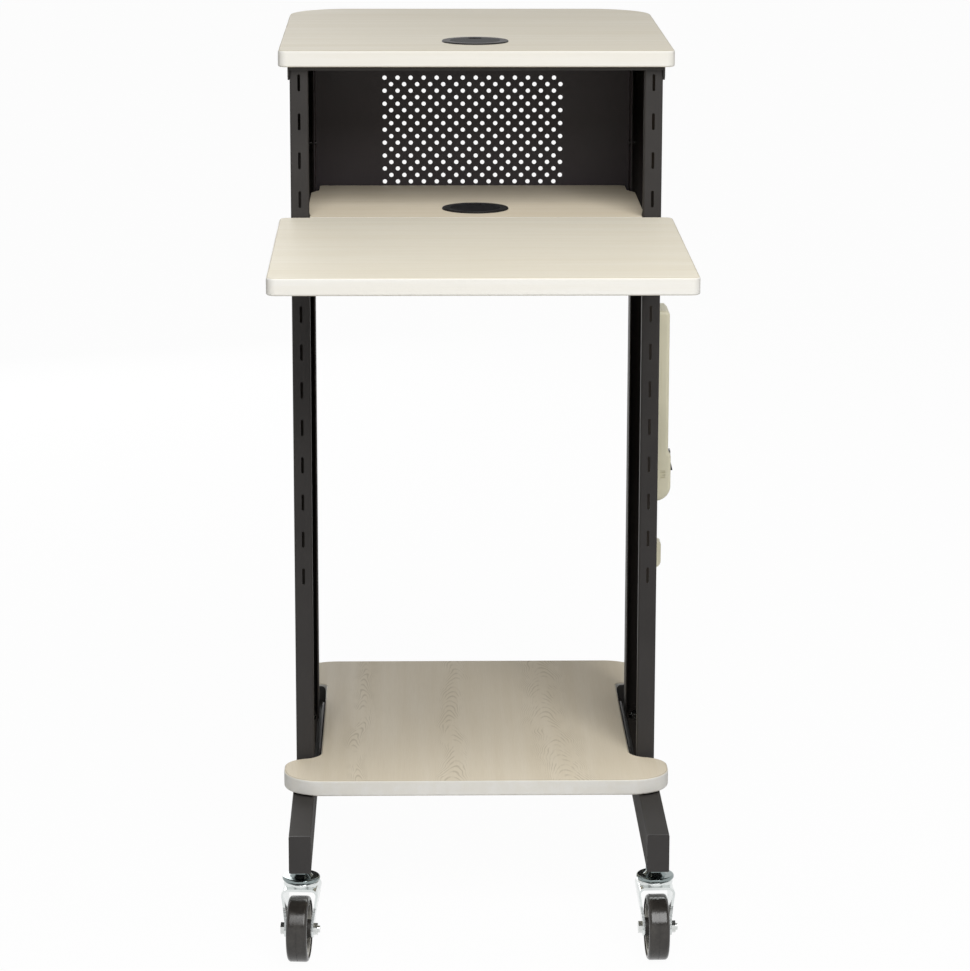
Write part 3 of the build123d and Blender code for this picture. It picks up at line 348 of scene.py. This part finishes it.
# Each band of arched grain: its middle, its lean, half its width, its bend and its pitch, in metres
BOTTOM_GRAIN = [(-0.150, 0.0, 0.016, 0.0016, 0.024),
                (-0.038, 0.01, 0.017, 0.0034, 0.021),
                (0.094, -0.05, 0.032, 0.0055, 0.020)]
ALONG_X, ALONG_Y = 0, 1
BLACK = linear(50, 48, 47)
COLUMN_BLACK = linear(56, 54, 53)
LOOKS = {}


def look(recipe, name, **settings):
    """Make a material by one of the recipes above, and keep it under its name."""
    LOOKS[name] = recipe(name, **settings)


# Painted light: the bottom board and both parts of the long board are made lighter and warmer than the top board,
# as if lit more and by warm light bounced between the boards.
look(laminate, "ivory_front_back", along=ALONG_Y, bands=BOTTOM_GRAIN, seed=3.0, tint=(1.07, 1.02, 0.95))
look(laminate, "ivory_side", along=ALONG_X, bands=[], seed=7.0)
look(laminate, "ivory_shelf", along=ALONG_X, bands=[], seed=12.0, tint=(1.11, 1.11, 1.10))
look(laminate, "ivory_shelf_rear", along=ALONG_X, bands=[], seed=17.0, tint=(1.12, 1.06, 0.98))
look(powder_coat, "powder_coat", base=BLACK, rough=0.5, specular=0.3)
look(powder_coat, "powder_coat_tube", base=linear(53, 51, 49), rough=0.72, specular=0.22)
look(powder_coat, "powder_coat_panel", base=linear(46, 39, 42), rough=0.42, specular=0.4)
for side in ("left", "right"):
    room = channel("column_" + side)
    look(powder_coat, "powder_coat_" + side, base=COLUMN_BLACK, rough=0.5, specular=0.12, hollow=room)
look(plated, "bright_zinc", base=linear(226, 230, 229), rough=0.10)
# Painted shade: a darker copy of the bright zinc for the caster mounts, for the shade under the base tubes and a
# painted dark reflection there.
look(plated, "raceway_zinc", base=linear(142, 152, 152), rough=0.12)
look(plated, "zinc_fasteners", base=linear(220, 222, 220), rough=0.2)
look(plated, "screw_steel", base=linear(72, 71, 70), rough=0.35)
look(rubber, "dark_tyre")
look(plastic, "beige_plastic", base=linear(234, 228, 200), rough=0.42)
look(plastic, "black_plastic", base=linear(30, 28, 28), rough=0.45, specular=0.25)
look(plastic, "plug_plastic", base=linear(56, 54, 53), rough=0.5, specular=0.25)
look(plastic, "cap_plastic", base=linear(24, 23, 25), rough=0.5, specular=0.08)
look(plastic, "black_gloss", base=linear(20, 20, 20), rough=0.15, grain=0.01 * MM)

LOOK_OF_SLOT = {
    "ivory_laminate": "ivory_side",
    "black_powder_coat": "powder_coat",
    "beige_plastic": "beige_plastic",
    "black_plastic": "black_plastic",
    "black_gloss_plastic": "black_gloss",
    "bright_zinc": "bright_zinc",
    "zinc_fasteners": "zinc_fasteners",
    "dark_tyre": "dark_tyre",
    "screw_steel": "screw_steel",
}
# Nodes that look unlike the rest of their slot
LOOK_OF_NODE = {
    "bottom_board": "ivory_front_back",
    "long_board_front": "ivory_shelf",
    "long_board_rear": "ivory_shelf_rear",
    "base_tube_left": "powder_coat_tube",
    "base_tube_right": "powder_coat_tube",
    "column_bolts": "screw_steel",
    "tube_end_plugs": "plug_plastic",
    "back_panel": "powder_coat_panel",
    "column_left": "powder_coat_left",
    "column_right": "powder_coat_right",
    "grommet_cap_top": "cap_plastic",
    "grommet_cap_long_board": "cap_plastic",
}


def dress_casters():
    """Each caster's mount gets a darker zinc, which is painted shade, and each wheel's core a look drawn round its
    axle, with painted shade in its recess.
    """
    roll = "roll_"
    for joint in frame["joints"]:
        if joint["name"].startswith(roll):
            place = joint["name"].removeprefix(roll)
            name = "grey_core_" + place
            look(wheel_plastic_painted_shade, name, centre=joint["pos_m"], axis=joint["axis"])
            LOOK_OF_NODE["wheel_core_" + place] = name
            LOOK_OF_NODE["caster_mount_" + place] = "raceway_zinc"


def dress_nodes():
    """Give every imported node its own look, or the look of its slot."""
    for entry in frame["record"]["subparts"]:
        node = nodes[entry["node"]]
        name = LOOK_OF_NODE.get(node.name) or LOOK_OF_SLOT[entry["material_slot"]]
        for slot in node.material_slots:
            slot.material = LOOKS[name]


# Light, ground and camera


def add_object(name, data):
    """A new object in the scene that holds the given mesh, lamp or camera."""
    obj = bpy.data.objects.new(name, data)
    bpy.context.scene.collection.objects.link(obj)
    return obj


def staged_sheet(name, corners, faces):
    """A sheet that belongs to the stage. Gives the sheet and the nodes of its own plain material."""
    mesh = bpy.data.meshes.new(name)
    mesh.from_pydata(corners, [], faces)
    obj = add_object(name, mesh)
    material = bpy.data.materials.new(name)
    material.use_nodes = True
    mesh.materials.append(material)
    return obj, material.node_tree


def area_light(name, place, target, size, power):
    """A soft square lamp that points at a target."""
    lamp = bpy.data.lights.new(name, "AREA")
    lamp.shape = "SQUARE"
    lamp.size = size
    lamp.energy = power
    obj = add_object(name, lamp)
    obj.location = place
    obj.rotation_euler = (Vector(target) - Vector(place)).to_track_quat("-Z", "Y").to_euler()


def seen_directly(tree):
    """A factor of 1 for what the camera sees directly, in mirrors and through glass."""
    path = tree.nodes.new("ShaderNodeLightPath")
    factor = path.outputs["Is Camera Ray"]
    for name in ("Is Glossy Ray", "Is Transmission Ray"):
        add = tree.nodes.new("ShaderNodeMath")
        add.operation = "MAXIMUM"
        tree.links.new(factor, add.inputs[0])
        tree.links.new(path.outputs[name], add.inputs[1])
        factor = add.outputs[0]
    return factor


def mixed(tree, factor, first, second, surface):
    """Mix two shaders by a factor on the way to the surface."""
    mix = tree.nodes.new("ShaderNodeMixShader")
    tree.links.new(factor, mix.inputs["Fac"])
    tree.links.new(first, mix.inputs[1])
    tree.links.new(second, mix.inputs[2])
    tree.links.new(mix.outputs[0], surface)


def white_world():
    """An even soft light from all round, seen as plain white."""
    strength = 0.18
    world = bpy.data.worlds.new("studio")
    bpy.context.scene.world = world
    world.use_nodes = True
    tree = world.node_tree
    light = tree.nodes["Background"]
    light.inputs["Color"].default_value = WHITE
    light.inputs["Strength"].default_value = strength
    seen = tree.nodes.new("ShaderNodeBackground")
    seen.inputs["Color"].default_value = WHITE
    surface = tree.nodes["World Output"].inputs["Surface"]
    mixed(tree, seen_directly(tree), light.outputs[0], seen.outputs[0], surface)


def floor():
    """A pale floor that keeps a faint shadow and is otherwise seen as white."""
    half = 14.0
    grey = (0.8, 0.8, 0.8, 1)
    white_share = 0.97
    corners = [(-half, -half, 0), (half, -half, 0), (half, half, 0), (-half, half, 0)]
    _, tree = staged_sheet("floor", corners, [(0, 1, 2, 3)])
    matt = tree.nodes["Principled BSDF"]
    matt.inputs["Base Color"].default_value = grey
    matt.inputs["Roughness"].default_value = 1.0
    matt.inputs["Specular IOR Level"].default_value = 0.0
    glow = tree.nodes.new("ShaderNodeEmission")
    glow.inputs["Strength"].default_value = 1.0
    share = tree.nodes.new("ShaderNodeMath")
    share.operation = "MULTIPLY"
    share.inputs[1].default_value = white_share
    tree.links.new(seen_directly(tree), share.inputs[0])
    surface = tree.nodes["Material Output"].inputs["Surface"]
    mixed(tree, share.outputs[0], matt.outputs[0], glow.outputs[0], surface)


def dark_hood():
    """A dark wall behind the camera and a dark ceiling, seen only in reflections, which give metal depth."""
    side, front, back, low, high = 6.0, -6.0, 5.0, 2.7, 6.0
    dark = (0.03, 0.03, 0.03, 1)
    corners = [(-side, front, low), (side, front, low), (side, front, high), (-side, front, high),
               (side, back, high), (-side, back, high)]
    obj, tree = staged_sheet("dark_hood", corners, [(0, 1, 2, 3), (3, 2, 4, 5)])
    obj.visible_camera = False
    obj.visible_diffuse = False
    obj.visible_shadow = False
    shader = tree.nodes["Principled BSDF"]
    shader.inputs["Base Color"].default_value = dark
    shader.inputs["Roughness"].default_value = 1.0


def camera():
    """The photograph's camera, found from the object's edges: height, distance, turn and lens."""
    picture_side = 971
    focal_pixels = 3552.0
    sensor = 36.0
    aside, distance, height = 75.754 * MM, 4095.625 * MM, 1462.985 * MM
    yaw, pitch, roll = 0.02112, 0.228, 0.002
    far = 100
    place = Vector((middle_x - aside, column_front - distance, height))
    forward = Vector((sin(yaw) * cos(pitch), cos(yaw) * cos(pitch), -sin(pitch)))
    right = Vector((cos(yaw), -sin(yaw), 0))
    up = right.cross(forward)
    right, up = cos(roll) * right + sin(roll) * up, cos(roll) * up - sin(roll) * right
    lens = bpy.data.cameras.new("photo_camera")
    lens.sensor_width = sensor
    lens.lens = focal_pixels * sensor / picture_side
    lens.clip_end = far
    obj = add_object("photo_camera", lens)
    axes = Matrix((right, up, -forward)).transposed().to_4x4()
    obj.matrix_world = Matrix.Translation(place) @ axes
    bpy.context.scene.camera = obj


dress_casters()
dress_nodes()
white_world()
floor()
dark_hood()
area_light("key", place=(0.35, -2.6, 3.1), target=(0, 0, 0.6), size=2.4, power=128)
area_light("rear", place=(-1.0, 3.2, 1.1), target=(0, 0.2, 0.6), size=1.6, power=30)
camera()
bpy.context.scene.view_settings.view_transform = "Standard"
